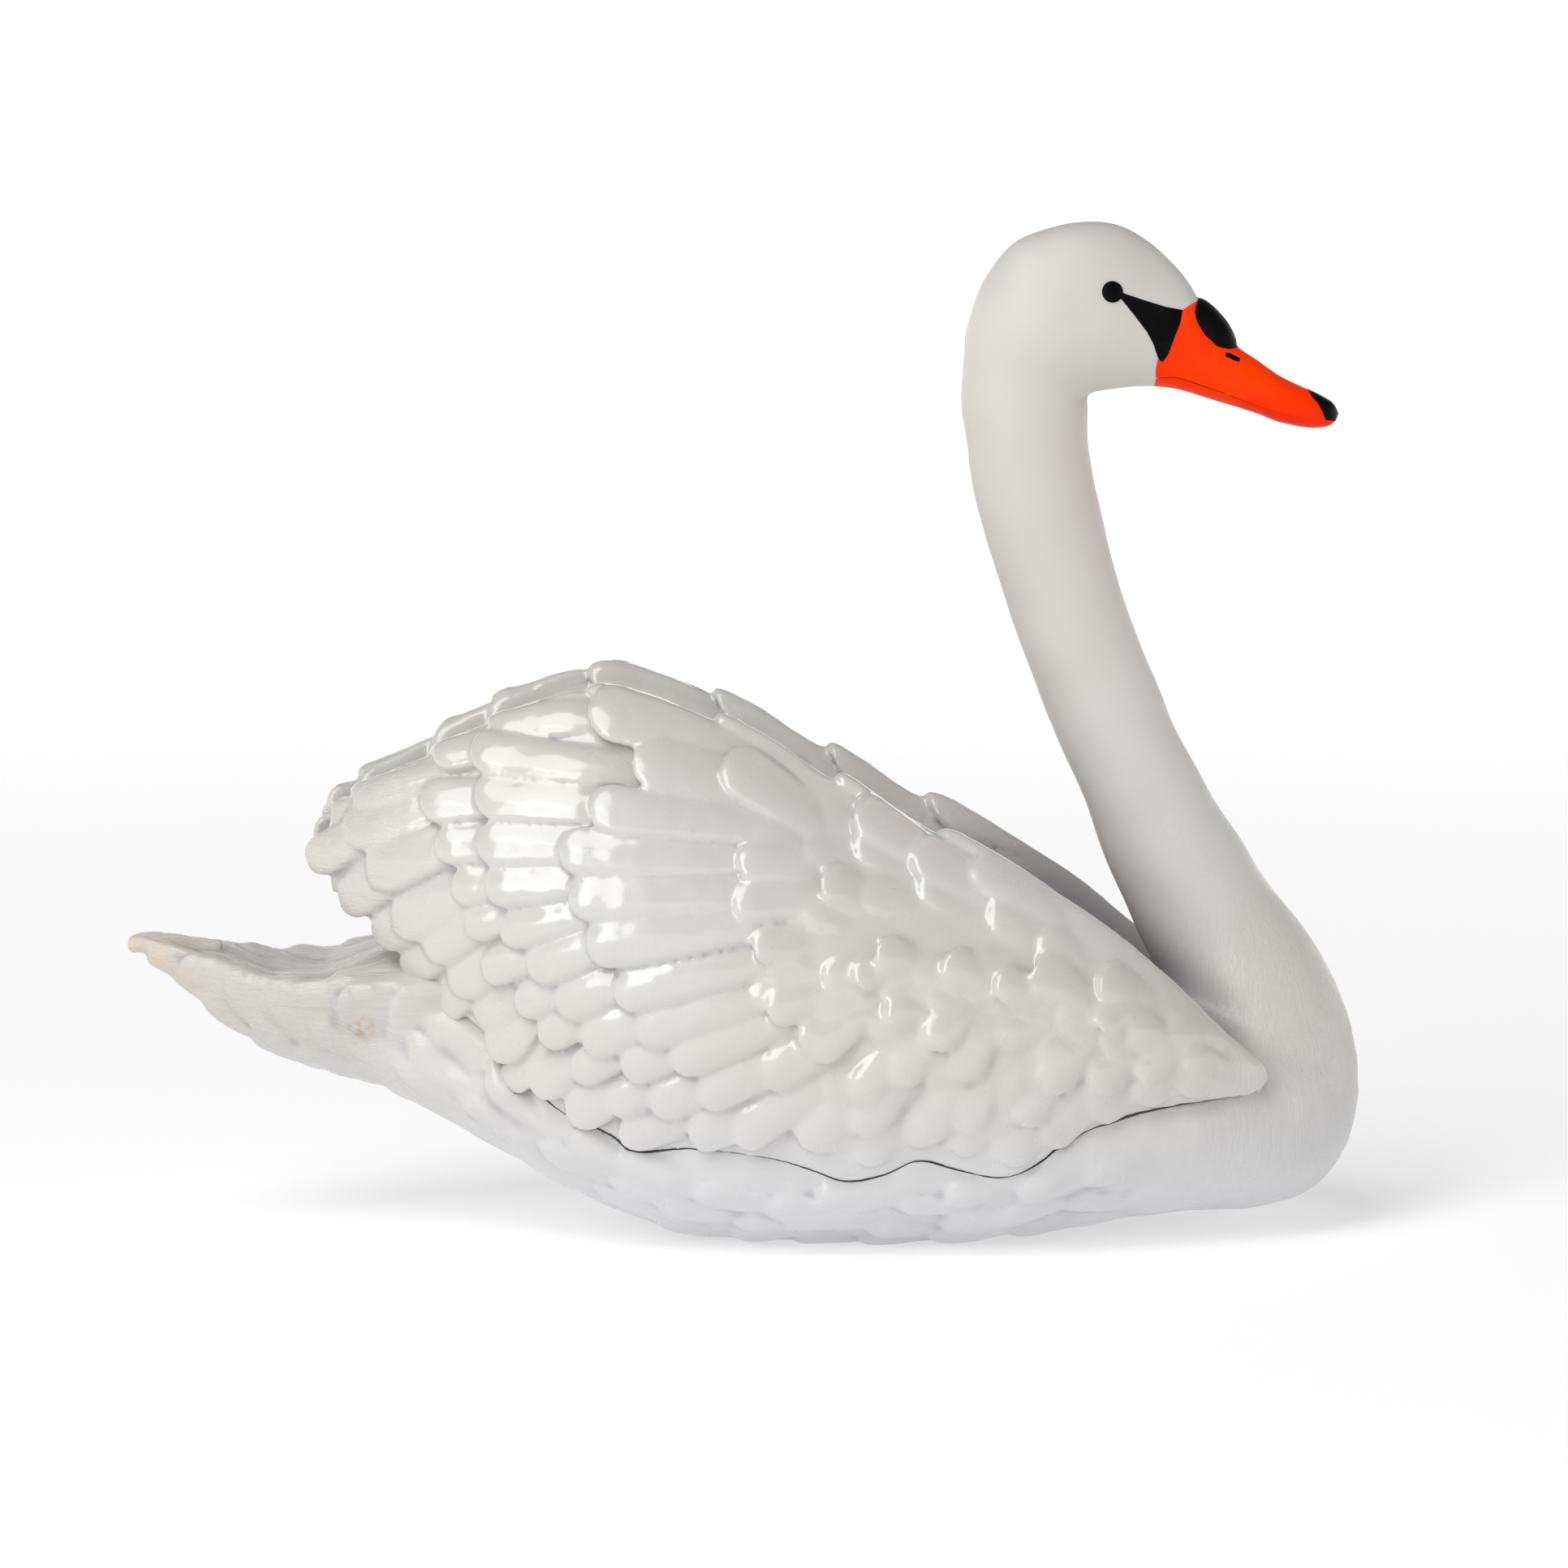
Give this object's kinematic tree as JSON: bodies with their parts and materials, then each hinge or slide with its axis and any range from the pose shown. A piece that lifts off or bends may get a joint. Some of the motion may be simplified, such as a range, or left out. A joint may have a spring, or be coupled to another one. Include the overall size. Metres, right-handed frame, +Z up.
{
  "type": "moulded mute swan figure",
  "caption": "Life-size white moulded swan figure with a raised neck, separate arched wing castings and an orange bill with a black knob.",
  "frame": {"origin": "on the floor under the middle of the figure's bounding box", "axes": "+X forward towards the bill and breast, +Y to the swan's left, +Z up"},
  "size_m": [0.8515, 0.3768, 0.6891],
  "materials": {
    "white_gloss": "white enamel on moulded resin, glossy on the wings and satin on the neck and head",
    "orange_paint": "orange paint, satin",
    "black_paint": "black paint, satin gloss"
  },
  "bodies": {
    "root": {"trunk": "white_gloss", "tail": "white_gloss", "neck_lower": "white_gloss", "neck_upper": "white_gloss", "head": "white_gloss", "wing_right": "white_gloss", "wing_left": "white_gloss", "eye_right": "black_paint", "eye_left": "black_paint", "bill_upper": "orange_paint", "bill_lower": "orange_paint", "bill_nail": "black_paint", "bill_knob": "black_paint"}
  },
  "joints": []
}
